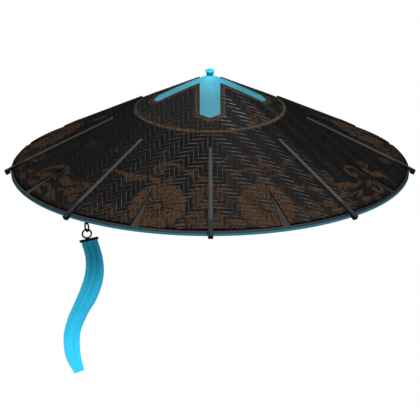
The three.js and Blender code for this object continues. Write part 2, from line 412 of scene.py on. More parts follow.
def strip_level(k, cells, along_y):
    """1 where strip k lies on top of the strips it crosses, -1 where it lies under them."""
    own = np.full_like(cells, k)
    return over(own, cells) if along_y else -over(cells, own)


def strips(along_y, low, high):
    """Strips low to high of one direction: points, quads, and each point's nearness to an edge and tone."""
    steps, rise_over, at_turn = 3, 0.31, 0.72
    section = [(-3.22, -0.24, 0.4), (-3.22, 0.02, 1), (-2.78, 0.29, 0.1), (0, 0.37, 0),
               (2.78, 0.29, 0.1), (3.22, 0.02, 1), (3.22, -0.24, 0.4)]
    offset, rise, edge = (np.array(column) for column in zip(*section))
    all_points, all_faces, all_edges, all_tones = [], [], [], []
    count = 0
    for k in range(low, high):
        reach = SHELL_OUTER ** 2 - (abs(k) * PITCH - PITCH / 2) ** 2
        if reach <= 0:
            continue
        cells = int(sqrt(reach) / PITCH) + 2
        station = np.arange(-cells * steps, cells * steps + 1)
        cell = np.round(station / steps).astype(int)
        past_middle = station - cell * steps
        on_top = strip_level(k, cell, along_y)
        next_top = strip_level(k, cell + np.sign(past_middle), along_y)
        turning = (on_top != next_top) & (past_middle != 0)
        height = rise_over * on_top * np.where(turning, at_turn, 1)
        sway = 0.09 * np.sin(station * 0.05 + k * 2.1) + 0.05 * np.sin(station * 0.23 + k)
        side = k * PITCH + np.add.outer(sway, offset)
        length = np.repeat((station * PITCH / steps)[:, None], len(offset), axis=1)
        x, y = (side, length) if along_y else (length, side)
        all_points.append(lifted(x, y, np.add.outer(height, rise)).reshape(-1, 3))
        faces = np.array(grid_faces(len(station), len(offset)))
        all_faces.append(faces[:, ::-1] + count if along_y else faces + count)
        all_edges.append(np.tile(edge, len(station)))
        run = np.cumsum(np.concatenate([[0], np.diff(on_top) != 0]))
        all_tones.append(np.repeat(rng.random(run[-1] + 1)[run], len(offset)))
        count += x.size
    return [np.concatenate(parts) for parts in (all_points, all_faces, all_edges, all_tones)]


def outside(x, y, margin):
    """True where a point lies past the cover's outline, moved in by margin."""
    out, side = notch_frame(x, y)
    past_rim = np.hypot(x, y) > SHELL_OUTER - margin + 1e-4
    in_notch = np.abs(side) < (out - NOTCH_TIP) * NOTCH_SPREAD + margin
    return past_rim | in_notch | (cross_distance(x, y) < margin)


def turned(x, y, angle):
    """A flat vector turned about the axis."""
    v, c, s = Vector((x, y)), cos(angle), sin(angle)
    return Vector((v.x * c - v.y * s, v.x * s + v.y * c))


def cut_lines():
    """Straight lines of the outline, as a point, the direction along it and how far it runs."""
    side_run, end_run = 75, 24
    lines = []
    for notch in NOTCH_DEGREES:
        a = radians(notch)
        for s in (-1, 1):
            spread = atan(NOTCH_SPREAD) * s
            tip = (NOTCH_TIP - LIP / sin(abs(spread))) * Vector((cos(a), sin(a)))
            lines.append((tip, Vector((cos(a + spread), sin(a + spread))), side_run))
    for arm in range(0, 360, 90):
        a = radians(arm)
        for s in (-1, 1):
            slant = Vector((-CROSS_SLANT, s)).normalized()
            lines.append((turned(10, s * (CROSS_HALF + LIP), a), turned(1, 0, a), side_run))
            lines.append((turned(CROSS_POINT + LIP * CROSS_STEEP, 0, a), turned(*slant, a), end_run))
    return lines


def trim(mesh):
    """Cuts the strips along the outline's straight lines, and drops what lies past them."""
    beside, beyond = 4, 6
    work = bmesh.new()
    work.from_mesh(mesh)
    for start, along, length in cut_lines():
        near = []
        across = Vector((-along.y, along.x))
        for face in work.faces:
            middle = face.verts[0].co.xy * 1000 - start
            if abs(middle.dot(across)) < beside and -beyond < middle.dot(along) < length + beyond:
                near.append(face)
        if not near:
            continue
        parts = list({v for f in near for v in f.verts}) + list({e for f in near for e in f.edges}) + near
        bmesh.ops.bisect_plane(work, geom=parts, dist=1e-7, plane_co=(start.x / 1000, start.y / 1000, 0),
                               plane_no=(across.x, across.y, 0))
    middles = np.array([tuple(f.calc_center_median()) for f in work.faces]) * 1000
    gone = outside(middles[:, 0], middles[:, 1], LIP - 0.02)
    work.faces.ensure_lookup_table()
    bmesh.ops.delete(work, geom=[work.faces[i] for i in np.nonzero(gone)[0]], context="FACES")
    work.to_mesh(mesh)
    work.free()


def add_weave(name, along_y, low, high, shader):
    """Strips low to high of one direction, cut off at the cover's outline."""
    points, faces, edges, tones = strips(along_y, low, high)
    x, y = points[:, 0], points[:, 1]
    radius = np.hypot(x, y)
    past_rim = radius > SHELL_OUTER - LIP
    faces = faces[~(outside(x, y, -3) | past_rim)[faces].all(axis=1)]
    used = np.unique(faces)
    number = np.full(len(points), -1)
    number[used] = np.arange(len(used))
    pull = np.where(past_rim, (SHELL_OUTER - LIP) / np.maximum(radius, 1), 1)
    points[:, 2] += SLOPE * radius * (1 - pull)
    points[:, :2] *= pull[:, None]
    mesh = new_mesh(name, points[used], number[faces].tolist(), edge=edges[used], tone=tones[used])
    trim(mesh)
    flat = np.empty(len(mesh.vertices) * 3)
    mesh.vertices.foreach_get("co", flat)
    x, y, _ = flat.reshape(-1, 3).T * 1000
    set_attribute(mesh, "paint", paint_distance(x, y))
    set_attribute(mesh, "border", cross_distance(x, y))
    finish_piece(name, mesh, shader, [], 38)


# The bronze paint

# Painted stems, curls and leaves, each a line of (x, y, half width) points.
STROKES = [
    [(-110, -166, 3), (-100, -171, 3.4), (-88, -171, 2.6), (-80, -177, 3.2), (-72, -185, 5),
     (-60, -190, 6.2), (-55, -181, 2.6)],
    [(-77, -168, 2.2), (-77, -158, 2.4), (-68, -153.5, 2.6), (-57, -155, 2.5), (-47, -160, 2.3),
     (-38, -168, 2.2), (-30, -175, 2.4), (-20, -181, 2.7), (-10, -188, 3), (-3, -192, 2.6)],
    [(-33, -174, 1.6), (-22, -174, 1.8), (-19, -166, 1.7), (-11, -165, 1.5)],
    [(-26, -179, 1.8), (-22, -190, 1.9), (-19, -203, 1.8)],
    [(44, -155, 1.7), (46, -147, 1.8), (57, -142, 1.8), (66, -141, 2.1), (70, -147, 2.3), (68, -153, 1.9)],
    [(60, -163, 2), (70, -158, 2.3), (75, -153, 2.6), (83, -153, 3), (84, -160, 2.8), (76, -164, 2),
     (66, -165, 1.6)],
    [(78, -176, 2.2), (89, -170, 2.2), (97, -164, 2), (99, -150, 1.9), (104, -137, 1.8), (110, -129, 1.7),
     (118, -122, 1.4)],
    [(84, -174, 1.2), (93, -168, 1.2), (101, -158, 1.1), (106, -144, 1), (113, -133, 1)],
    [(25, -193, 1.7), (28, -182, 1.9), (33, -177, 2.1), (44, -170, 2.2), (57, -167, 2.2), (67, -173, 2.4),
     (69, -182, 2.6), (66, -187, 2.4)],
    [(80, -180, 2.8), (67, -192, 3.6), (53, -198, 3)],
    [(40, -193, 1.5), (48, -191, 1.6), (47, -200, 1.7), (40, -203, 1.5)],
    [(13, -210, 1.7), (17, -202, 1.7), (27, -195, 1.9)],
    [(7, -162, 1.3), (17, -157, 1.4), (27, -147, 1.5)],
    [(-250, -62, 2.4), (-238, -64, 2.8), (-222, -67, 3), (-208, -78, 3.2), (-201, -92, 3.4),
     (-201, -106, 2.8)],
    [(-208, -108, 4), (-203, -122, 6.5), (-197, -132, 4.5)],
    [(-202, -140, 1.6), (-200, -155, 1.6), (-193, -170, 1.8)],
    [(-196, -134, 1.6), (-184, -138, 1.8), (-174, -146, 1.8), (-169, -158, 1.8)],
    [(-244, -70, 2), (-232, -78, 2.2), (-220, -90, 2.4), (-217, -104, 2)],
    [(-246, -84, 1.8), (-237, -98, 2), (-228, -112, 2.2), (-225, -128, 2.6), (-226, -146, 2.8)],
    [(-150, -132, 1.6), (-142, -135, 2.4), (-133, -141, 2.2), (-125, -148, 2.6), (-116, -158, 3),
     (-107, -163, 2.6), (-99, -166, 2)],
    [(-140, -92, 1.8), (-133, -96, 3), (-128, -101, 1.4)],
    [(118, -122, 1.2), (123, -117, 2.2), (120, -112, 1.2)],
    [(158, -128, 2), (166, -136, 3.4), (172, -146, 2), (168, -152, 1.2)],
    [(172, -150, 1.5), (186, -142, 3.6), (196, -137, 4.2), (206, -128, 2.2), (210, -118, 1.4)],
    [(118, -183, 1.6), (126, -178, 2.4), (136, -176, 3.4), (147, -175, 3), (160, -170, 1.8)],
    [(176, -172, 1.4), (190, -165, 1.6), (198, -158, 1.4), (203, -148, 1.1)],
    [(96, -189, 1.2), (104, -184, 1.2), (118, -183, 1.4)],
    [(214, -86, 2), (218, -74, 1.6), (220, -62, 1.4)],
    [(222, -84, 3), (232, -80, 5), (238, -72, 5), (246, -74, 3)],
    [(-58, -125, 0.9), (-64, -131, 0.9), (-66, -138, 1.1)],
    [(44, -38, 1.6), (52, -46, 2), (54, -57, 1.6)],
    [(66, -36, 1.8), (58, -44, 2.2), (52, -50, 1.4)],
    [(74, -44, 1.4), (66, -56, 1.8), (58, -66, 1.8), (56, -76, 1.4)],
    [(70, -58, 1.4), (74, -66, 1.6), (72, -76, 1.4)],
    [(57, -70, 1.6), (60, -76, 2.2), (56, -84, 1.6)],
    [(64, -60, 1.2), (64, -72, 1.5), (62, -80, 1.2)],
    [(-92, -30, 1.4), (-90, -42, 1.8), (-86, -54, 1.4)],
    [(-80, -52, 1.5), (-74, -56, 2.1), (-71, -63, 1.9), (-76, -66, 1.4)],
    [(-190, -25, 0.9), (-173, -42, 1.3), (-156, -56, 1)],
    [(-174, -57, 1), (-166, -56, 2), (-158, -54, 1)],
    [(-181, 62, 3), (-166, 52, 3.4), (-150, 41, 2.6), (-137, 31, 1.4)],
    [(-170, 48, 1.2), (-155, 36, 1.8), (-141, 24, 1.2)],
    [(136, 45, 1.2), (150, 57, 2.4), (163, 68, 3), (172, 77, 3.2)],
    [(146, 46, 1.1), (160, 56, 1.8), (174, 66, 1.5)],
    [(-62, -78, 1.2), (-54, -84, 1.8), (-47, -92, 1.4)],
]

# Curls, each as the x, y, start, turns, size, width and hand that scroll takes.
CURLS = [
    (-112, -166, 60, 0.9, 9, 2.2, 1), (-69, -165, 200, 0.8, 9, 2, -1),
    (-182, -152, 110, 1.2, 11, 1.9, -1), (-243, -100, 60, 1.1, 9, 2.2, 1),
    (-226, -138, 80, 0.9, 9, 2.6, -1), (-192, -170, 20, 1, 8, 1.9, 1),
    (200, -104, 20, 0.95, 17, 2.1, 1), (232, -118, 150, 0.9, 14, 2.6, -1),
    (168, -145, 60, 1, 9, 1.5, 1), (214, -66, 200, 1, 9, 2, 1),
    (141, -150, 0, 0.6, 4, 2.4, 1), (238, -140, 100, 1, 9, 2.2, 1),
]

# Centre beside the middle line, centre forward, the middle line and the radius of each pair of flowers.
FLOWERS = ((76, -228.3, 1.9, 41), (211, 67.5, -4, 38), (76, 228.3, 0, 41))


def scroll(x, y, start, turns, size, width, hand):
    """A curl that winds in to its middle at x, y. start is the angle of its outer end, in degrees."""
    n = max(5, int(turns * 9))
    out = []
    for i in range(n + 1):
        share = i / n
        a = radians(start) + hand * turns * 2 * pi * share
        r = size * (1 - 0.82 * share)
        out.append((x + r * cos(a), y + r * sin(a), width * (0.75 + 0.6 * share)))
    return out


def rim_scrolls():
    """Leaves and curls that run along the rim all the way round, between the flowers."""
    lines = []
    for azimuth in np.arange(3, 363, 7.5):
        wobble = sin(azimuth * 0.37) * 4
        a = radians(azimuth)
        for radius, length, half, lean in ((266 + wobble * 0.4, 13, 3, 0.25), (252 + wobble, 11, 2.2, -0.5)):
            if sin(radians(azimuth * 3.1 + radius)) < -0.45:
                continue
            line = []
            for share in (-1, -0.4, 0.3, 1):
                b = a + share * length / radius
                r = radius + lean * share * length * 0.6
                line.append((r * cos(b), r * sin(b), half * (1.05 - 0.75 * share ** 2)))
            lines.append(line)
    for i, azimuth in enumerate(np.arange(10, 360, 17.3)):
        r = 243 + 7 * sin(i * 2.3)
        a = radians(azimuth)
        if -sin(a) > 0.72:
            continue
        hand = 1 if i % 2 else -1
        lines.append(scroll(r * cos(a), r * sin(a), azimuth + 120 * i, 1.05, 9.5, 2, hand))
    return lines


def paint_distance(x, y):
    """Distance in millimetres to the nearest painted stroke, negative inside it."""
    lines = STROKES + [scroll(*curl) for curl in CURLS] + rim_scrolls()
    best = np.full(len(x), 30.0)
    order = np.argsort(x)
    xs = x[order]
    for px, py, half in np.vstack([smooth_rows(line, 10) for line in lines]):
        reach = half + 4
        low, high = np.searchsorted(xs, (px - reach, px + reach))
        part = order[low:high]
        near = part[np.abs(y[part] - py) < reach]
        if len(near):
            best[near] = np.minimum(best[near], np.hypot(x[near] - px, y[near] - py) - half)
    return best


def flower_mask(s, x, y, flower):
    """Sixteen rounded petals with dark lines between them, drawn on both sides of the middle."""
    centre_x, centre_y, middle, radius = flower
    dx = s.minus(s.size(s.minus(x, middle)), centre_x)
    dy = s.minus(y, centre_y)
    reach = s.length(dx, dy)
    wave = s.size(s.sine(s.times(s.math("ARCTAN2", dy, dx), 8)))
    tip = s.math("MULTIPLY_ADD", s.math("POWER", wave, 0.45), 0.13 * radius, 0.88 * radius)
    petals = s.ramp(s.minus(tip, reach), 0, 1)
    width = s.ramp(reach, 8, radius, 1.05, 0.45, smooth=False)
    line = s.ramp(s.minus(s.times(wave, s.times(reach, 0.125)), width), -0.3, 0.35)
    disc = s.ramp(reach, 6, 5.4)
    ring = s.times(s.ramp(reach, 7, 7.6), line)
    around = s.ramp(s.minus(s.plus(tip, 2.6), reach), 0, 0.6)
    return s.times(petals, s.most(disc, ring)), around


def vine_mask(s, place, radius, forward, speckle, ragged):
    """Vines, leaves and stray marks, broken up as old paint is."""
    x, y, _ = s.parts(place)
    wander = s.plus(s.math("MULTIPLY_ADD", speckle, 3, -1.5), s.math("MULTIPLY_ADD", ragged, 6, -3))
    vines = s.ramp(s.plus(s.attribute("paint"), wander), 0.6, -0.3)
    leaf_noise = s.noise(place, 0.17, 4, 0.65)
    vein_noise = s.noise(place, 0.24, 1)
    middle = s.length(s.share(x, 38), s.share(s.plus(y, 222), 26))
    near_rim = s.times(s.ramp(radius, 238, 262), s.ramp(forward, 0.6, 0.97, 0.12, 1))
    behind = s.times(s.ramp(radius, 200, 235), s.ramp(forward, 0.08, -0.05, 0, 0.6))
    thick = s.most(s.most(near_rim, behind), s.ramp(middle, 1.1, 0.6))
    leaves = s.ramp(s.math("MULTIPLY_ADD", thick, 0.135, leaf_noise), 0.58, 0.61)
    veins = s.ramp(s.size(s.minus(vein_noise, 0.5)), 0.012, 0.03)
    leaves = s.times(s.times(leaves, veins), s.ramp(thick, 0.05, 0.3))
    leaves = s.times(leaves, s.ramp(radius, 274.5, 273))
    sparse = s.times(s.ramp(leaf_noise, 0.66, 0.7, 0, 0.6), s.ramp(radius, 108, 114))
    vines = s.most(s.most(vines, leaves), sparse)
    vines = s.times(vines, s.ramp(s.noise(place, 0.27, 3, 0.7), 0.38, 0.5, 0.5, 1))
    vines = s.times(vines, s.ramp(s.noise(place, 0.045, 3), 0.33, 0.45, 0.45, 1))
    return s.times(vines, s.ramp(s.attribute("tone"), 0.72, 0.8, 1, 0.55))


def painted_mask(s, place, radius, forward, speckle, ragged):
    """How much bronze lies on a point: the vines, and the flowers over them."""
    x, y, _ = s.parts(place)
    painted = vine_mask(s, place, radius, forward, speckle, ragged)
    for flower in FLOWERS:
        shape, around = flower_mask(s, x, y, flower)
        painted = s.most(shape, s.times(painted, s.minus(1, around)))
    painted = s.times(painted, s.ramp(s.attribute("tone"), 0.82, 0.88, 1, 0.72))
    # Painted shade: the bronze is thinned a little on the sides of the hat.
    sides = s.most(s.ramp(forward, 0.5, 0.8, 0.9, 1), s.ramp(forward, 0.3, 0.1, 0, 0.95))
    return s.times(painted, sides)


def black_lacquer(s, radius, right, forward, fibre, worn):
    """Black strips, a little lighter inside the crown's circle, with pale edges that are partly wear and
    partly painted sheen, painted shade on the far right side and a painted dark line at the rim.
    """
    grain = s.ramp(fibre, 0.3, 0.7)
    black = s.mix(grain, (25, 25, 25), (36, 35, 35))
    black = s.mix(s.times(s.attribute("tone"), 0.5), black, (20, 20, 21))
    black = s.fade(radius, 107, 102, black, s.mix(grain, (32, 32, 32), (42, 42, 42)))
    front_right = s.times(s.ramp(right, -0.15, 0.3, 0, 0.55), s.ramp(forward, 0.6, 0.95))
    black = s.mix(front_right, black, (43, 42, 42))
    # Painted shade: the strips are darker on the far right side.
    black = s.mix(s.ramp(right, 0.6, 0.95, 0, 0.45), black, (17, 17, 17))
    bare_and_sheen = s.fade(radius, 107, 103, (164, 162, 159), (222, 219, 215))
    black = s.mix(worn, black, bare_and_sheen)
    # Painted shade along the rim, where the cover meets the band.
    return s.fade(radius, 274.6, 275.8, black, (13, 12, 12))


def weave_shader(name, grain, outer_wear_and_sheen, inner_wear_and_sheen):
    """Lacquered and painted strips. grain runs along them. The other two set how pale the strips' edges are
    from left to right, outside the crown's circle and inside it: partly wear and partly painted sheen."""
    s = Shader(name, 0.6, 0.12)
    place = s.place()
    radius, right, forward = s.polar(place)
    fibre = s.noise(s.stretch(place, grain), 1, 3)
    speckle = s.noise(place, 0.55, 3, 0.65)
    ragged = s.noise(place, 0.3, 2, 0.7)

    # Pale strip edges, partly wear and partly painted sheen: strongest towards the front, and more on one
    # side for each strip direction.
    rubbed_and_sheen = s.times(s.ramp(forward, 0.45, 0.95, 0.16, 1), s.ramp(right, *outer_wear_and_sheen))
    inner = s.times(s.ramp(right, -0.1, 0.3, *inner_wear_and_sheen), s.ramp(right, 0.55, 0.95, 1, 0.3))
    worn = s.times(s.ramp(s.attribute("edge"), 0.2, 0.95), s.ramp(speckle, 0.38, 0.6, 0.1, 1))
    worn = s.times(worn, s.ramp(radius, 101, 109, inner, rubbed_and_sheen))
    black = black_lacquer(s, radius, right, forward, fibre, worn)

    painted = painted_mask(s, place, radius, forward, speckle, ragged)
    bronze = s.fade(speckle, 0.35, 0.65, (58, 42, 30), (91, 69, 51))
    # The same worn edges and painted sheen lighten the bronze too.
    bronze = s.mix(s.times(worn, 0.6), bronze, (146, 124, 104))
    colour = s.mix(s.times(painted, 0.92), black, bronze)

    border = s.attribute("border")
    inside = s.times(s.ramp(border, 4.4, 4), s.ramp(speckle, 0.4, 0.6, 0.2, 0.85))
    colour = s.mix(inside, colour, (82, 66, 53))
    ring = s.ramp(s.size(s.minus(radius, 105)), 2.5, 1.6)
    outline = s.times(s.ramp(border, 4.1, 4.5), s.ramp(border, 6.8, 6.4))
    lines = s.times(s.most(outline, ring), s.ramp(speckle, 0.3, 0.55, 0.45, 1))
    light_paint = s.fade(ragged, 0.35, 0.65, (62, 49, 39), (106, 86, 70))
    s.set("Base Color", s.mix(lines, colour, light_paint))
    s.set("Roughness", s.ramp(painted, 0, 1, 0.58, 0.7))
    s.relief(s.plus(fibre, s.times(painted, 0.5)), 0.00012)
    return s


# The sheet under the strips

def radial_outline():
    """For a ring of angles, the cover's inner and outer radius, and the same moved in by the lip."""
    tiny = 1e-9
    notch_edge = degrees(atan2(NOTCH_HALF, SHELL_OUTER))
    lip_edge = degrees(atan((NOTCH_HALF + LIP) / (SHELL_OUTER - LIP)))
    shoulder = degrees(atan2(CROSS_HALF, CROSS_SHOULDER))
    lip_shoulder = degrees(atan2(CROSS_HALF + LIP, CROSS_SHOULDER + LIP * 0.62))
    angles = list(np.arange(0, 360, 1.25))
    for middle in NOTCH_DEGREES:
        for d in (0, notch_edge, lip_edge, 0.3, 0.7, 2):
            angles += [middle + d, middle - d]
    for middle in range(0, 360, 90):
        angles += [middle, middle + 45]
        for d in (shoulder, lip_shoulder):
            angles += [middle + d, middle - d]
    theta = np.radians(np.unique(np.round(np.mod(angles, 360), 5)))

    def outer(margin):
        delta = np.abs(np.mod(theta - FIRST_NOTCH + RIB_TURN / 2, RIB_TURN) - RIB_TURN / 2)
        down = NOTCH_SPREAD * np.cos(delta) - np.sin(delta)
        tip = (NOTCH_TIP * NOTCH_SPREAD - margin * hypot(1, NOTCH_SPREAD)) / np.maximum(down, tiny)
        return np.minimum(SHELL_OUTER - margin, np.where(down > tiny, tip, np.inf))

    def inner(margin):
        turn = np.mod(theta + pi / 4, pi / 2) - pi / 4
        s, c = np.abs(np.sin(turn)), np.cos(turn)
        return np.minimum((CROSS_HALF + margin) / np.maximum(s, tiny),
                          (CROSS_POINT + margin * CROSS_STEEP) / (c + CROSS_SLANT * s))

    return theta, inner(0), inner(LIP), outer(LIP), outer(0)


def add_backing():
    """A thin lacquered sheet under the strips, whose rim stands up around the cover's whole outline."""
    theta, in_edge, in_lip, out_lip, out_edge = radial_outline()
    floor, sheet, top = -0.74, -0.63, 0.66
    fold = np.full(len(theta), CROWN_EDGE)
    out_width, in_width = out_lip - out_edge, in_lip - in_edge
    profile = [(in_edge, floor), (fold, floor), (out_edge, floor), (out_edge, top - 0.2),
               (out_edge + out_width * 0.25, top), (out_edge + out_width * 0.8, top - 0.05),
               (out_lip, top - 0.3), (out_lip, sheet), (fold, sheet), (in_lip, sheet), (in_lip, top - 0.3),
               (in_edge + in_width * 0.8, top - 0.05), (in_edge + in_width * 0.25, top), (in_edge, top - 0.2)]
    columns = [lifted(r * np.cos(theta), r * np.sin(theta), np.full(len(theta), h)) for r, h in profile]
    points = np.stack(columns, axis=1).reshape(-1, 3)
    faces = grid_faces(len(theta), len(profile), closed=True)
    s = Shader("edge_lacquer", 0.55, 0.2)
    place = s.place()
    radius, _, _ = s.polar(place)
    wear = s.noise(place, 0.4, 3)
    # The lip is near black, darker than the strips: painted shade along the cover's outline.
    black = s.fade(wear, 0.35, 0.7, (4, 4, 4), (11, 11, 11))
    brown = s.fade(wear, 0.3, 0.7, (30, 19, 14), (58, 40, 30))
    s.set("Base Color", s.fade(radius, 100, 96, black, brown))
    s.relief(wear, 0.0001)
    add_piece("woven_backing", points, faces, s, "woven_lacquer", ["woven_shell"], 50)


# Cloth and band

def finish_cloth(s, colour, threads, slub, darkest, painted_glow, relief):
    """Gives cloth its threads and slubs, and a painted glow: the cloth gives off a little light in its own
    colour.
    """
    shade = s.plus(s.times(threads, 0.02), s.ramp(slub, 0.3, 0.7, darkest, 1.03))
    tint = s.mix(1, colour, s.grey(shade), "MULTIPLY")
    s.set("Base Color", tint)
    # Painted glow: the cloth gives off light in its own colour, as a lamp would.
    s.set("Emission Color", tint)
    s.set("Emission Strength", painted_glow)
    s.relief(s.plus(threads, slub), relief)


def cloth_shader(name, colour, painted_glow, thread):
    """Plain woven cloth, its threads drawn by two waves across each other, with a painted glow of the given
    strength.
    """
    s = Shader(name, 0.9, 0.08)
    place = s.place()
    x, y, z = s.parts(place)
    rise = s.times(z, 0.7)
    turns = 4 * pi / thread
    threads = s.times(s.sine(s.times(s.plus(x, rise), turns)),
                      s.sine(s.times(s.minus(y, rise), turns)))
    slub = s.noise(s.stretch(place, (0.05, 1.2, 1.2)), 1)
    finish_cloth(s, colour(s, place), threads, slub, 0.96, painted_glow, 0.00004)
    return s


def lining_colour(s, place):
    """Bright round the button, duller down the arms of the cross, dark at the hem, with painted light on the
    left arm and painted shade on the right.
    """
    radius, right, forward = s.polar(place)
    # Painted light: the left arm is given a lighter tint than the front and right arms.
    arm = s.fade(right, -0.5, -0.9, (76, 139, 156), (76, 155, 176))
    arm = s.fade(right, 0.5, 0.9, arm, (66, 141, 159))
    crown = s.mix(s.ramp(radius, 3, 15, smooth=False), (90, 210, 242), (84, 177, 202))
    crown = s.mix(s.ramp(radius, 13, 45, smooth=False), crown, arm)
    # Painted shade right of a crease line near the button, and over the whole right side.
    shadow = s.times(s.ramp(right, 0.18, 0.26), s.ramp(radius, 72, 16))
    crown = s.mix(shadow, crown, (238, 243, 245), "MULTIPLY")
    crown = s.fade(right, 0.4, 0.9, crown, (240, 249, 250), "MULTIPLY")
    hem = s.fade(forward, 0.6, 0.95, (26, 96, 112), (26, 101, 119))
    return s.fade(radius, 150, 272, crown, hem)


def lining_top(radius):
    """The height of the lining's outer face, which drops to pass under the band."""
    fall = np.clip((radius - 100) / 90, 0, 1) * (BAND_WALL + 0.3)
    return float(LINING_APEX - SLOPE * radius - fall - crown_dip(radius))


def add_lining():
    radii = [0.4, 6, 14, 24, 36, 50, 66, 84, *range(100, 251, 15), 264, 273.5]
    top = [(r, lining_top(r)) for r in radii]
    under = [(r, z - LINING_WALL) for r, z in reversed(top)]
    hem_top = lining_top(277.6)
    roll = [(277.6, hem_top - 0.1), (278.9, hem_top - 0.55), (279.7, hem_top - 1.3), (280, 2.1),
            (279.9, 1.2), (279.3, 0.45), (278.3, 0.05), (277.2, 0.1), (276.3, 0.6), (275.8, 1.5),
            (275.6, 2.6), (275.4, 3.4)]
    points, faces = lathe(top + roll + under)
    # The lining cloth gives off a painted glow of strength 0.38.
    shader = cloth_shader("lining_cloth", lining_colour, 0.38, 1.6)
    add_piece("lining", points, faces, shader, "lining_cloth", [f"lining_{i}" for i in range(RIBS)], 60)


def add_band():
    """A thin lacquered ring that lies straight along the cone, its outer edge rounded."""
    drops = [(BAND_INNER, 0), (240, 0), (278.6, 0), (279.4, 0.05), (279.85, 0.22), (280, 0.5),
             (279.9, BAND_WALL - 0.2), (279.5, BAND_WALL), (240, BAND_WALL), (BAND_INNER, BAND_WALL)]
    points, faces = lathe([(r, LINING_APEX - SLOPE * r - drop) for r, drop in drops])
    s = Shader("band_lacquer", 0.55, 0.2)
    place = s.place()
    radius, right, _ = s.polar(place)
    mottle = s.noise(place, 0.35, 4)
    coat = s.fade(mottle, 0.3, 0.7, (61, 61, 61), (73, 73, 73))
    # Painted shade on the right side of the ring and painted light at its far left.
    coat = s.fade(right, 0.3, 0.85, coat, (49, 49, 49))
    coat = s.fade(right, -0.85, -0.98, coat, (76, 76, 76))
    worn = s.times(s.ramp(s.plus(radius, mottle), 279.9, 280.3), 0.7)
    s.set("Base Color", s.mix(worn, coat, (70, 46, 38)))
    s.relief(mottle, 0.0001)
    add_piece("band", points, faces, s, "band_lacquer", ["rim_band"], 50)


# Ribs and hooks

def cane_shader():
    s = Shader("grey_cane", 0.6, 0.15)
    grain = s.attribute("grain", "Vector")
    fibres = s.noise(s.stretch(grain, (0.06, 3.2, 1)), 1, 3, 0.6)
    blotch = s.noise(s.stretch(grain, (0.05, 0.2, 1)), 1)
    colour = s.fade(fibres, 0.3, 0.7, (73, 72, 73), (93, 92, 93))
    colour = s.mix(s.ramp(blotch, 0.45, 0.75, 0, 0.3), colour, (64, 63, 62))
    # Painted shade: the cane's sides and underside, which face away from up, are darker.
    s.set("Base Color", s.fade(s.upward(), 0.72, 0.35, colour, (40, 39, 39)))
    s.relief(fibres, 0.00015)
    return s


def add_rib(i, shader):
    """A split cane: flat below, rounded above, a little uneven along its length."""
    angle = i * RIB_TURN
    rows = 60
    section = [(-1, 0), (-1, 0.55), (-0.94, 0.8), (-0.78, 0.95), (-0.4, 1), (0, 1), (0.4, 1), (0.78, 0.95),
               (0.94, 0.8), (1, 0.55), (1, 0)]
    points, grain = [], []
    phase = rng.random() * 6
    for k in range(rows + 1):
        share = k / rows
        r = RIB_INNER + (RIB_OUTER - RIB_INNER) * share
        half = (2.5 + 0.75 * share) * (1 - 0.012 * sin(share * 21 + phase))
        height = 2.4 * (1 - 0.03 * (1 + sin(share * 13 + phase * 2)) / 2)
        shrink = 0.12 if k in (0, rows) else 0.0
        for side, up in section:
            along = r + (0.0 if k else 0.35 * up)
            z = SHELL_APEX + 0.3 - SLOPE * along + height * up * (1 - shrink)
            across = side * half * (1 - shrink * 0.4)
            points.append((along * cos(angle) - across * sin(angle),
                           along * sin(angle) + across * cos(angle), z))
            grain.append((r, across, i * 7.3))
    count = len(section)
    faces = [tuple(reversed(f)) for f in grid_faces(rows + 1, count)]
    faces.append(tuple(range(count)))
    faces.append(tuple(reversed(range(rows * count, (rows + 1) * count))))
    weld(add_piece(f"cane_{i}", points, faces, shader, "grey_cane", [f"rib_{i}"], 40, grain=grain))


def hook_shader():
    s = Shader("hook_lacquer", 0.55, 0.2)
    specks = s.noise(s.place(), 0.9, 3)
    top = s.fade(specks, 0.35, 0.7, (51, 51, 51), (67, 67, 66))
    # Painted shade: the sleeve's sides and end faces are darker than its top.
    s.set("Base Color", s.fade(s.upward(), 0.7, 0.3, top, (19, 19, 19)))
    s.set("Roughness", s.ramp(specks, 0.3, 0.7, 0.4, 0.55))
    s.relief(specks, 0.0001)
    return s


def add_hook(i, shader):
    """The end sleeve of a rib, in its drawn shape with rounded edges."""
    node = f"rib_hook_{i}"
    work = bmesh.new()
    work.from_mesh(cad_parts[node].data)
    bmesh.ops.remove_doubles(work, verts=work.verts, dist=WELD)
    bmesh.ops.dissolve_limit(work, angle_limit=radians(1), verts=work.verts, edges=work.edges)
    edges = [e for e in work.edges if e.is_manifold and e.calc_face_angle(0) > radians(25)]
    bmesh.ops.bevel(work, geom=edges, offset=0.6 * MM, segments=3, profile=0.5, affect="EDGES",
                    clamp_overlap=True)
    bmesh.ops.recalc_face_normals(work, faces=work.faces)
    mesh = bpy.data.meshes.new(f"hook_{i}")
    work.to_mesh(mesh)
    work.free()
    finish_piece(f"hook_{i}", mesh, shader, [node], 40)


# Knob, eye, rings and clamp

def wire_shader():
    s = Shader("black_wire", 0.6, 0.12)
    specks = s.noise(s.place(), 1.4)
    s.set("Base Color", s.fade(specks, 0.35, 0.7, (3, 3, 3), (9, 9, 9)))
    s.set("Roughness", s.ramp(specks, 0.3, 0.7, 0.5, 0.7))
    return s


def knob_colour(s, place):
    """Painted shade under the shoulder and painted light on top: dark below, bright above."""
    _, _, z = s.parts(place)
    # Painted top light: bright above the shoulder, dark as if in shade below it.
    lit = s.ramp(z, 150.6 - SEAT, 151.5 - SEAT, smooth=False)
    return s.mix(lit, (24, 112, 136), (54, 218, 255))


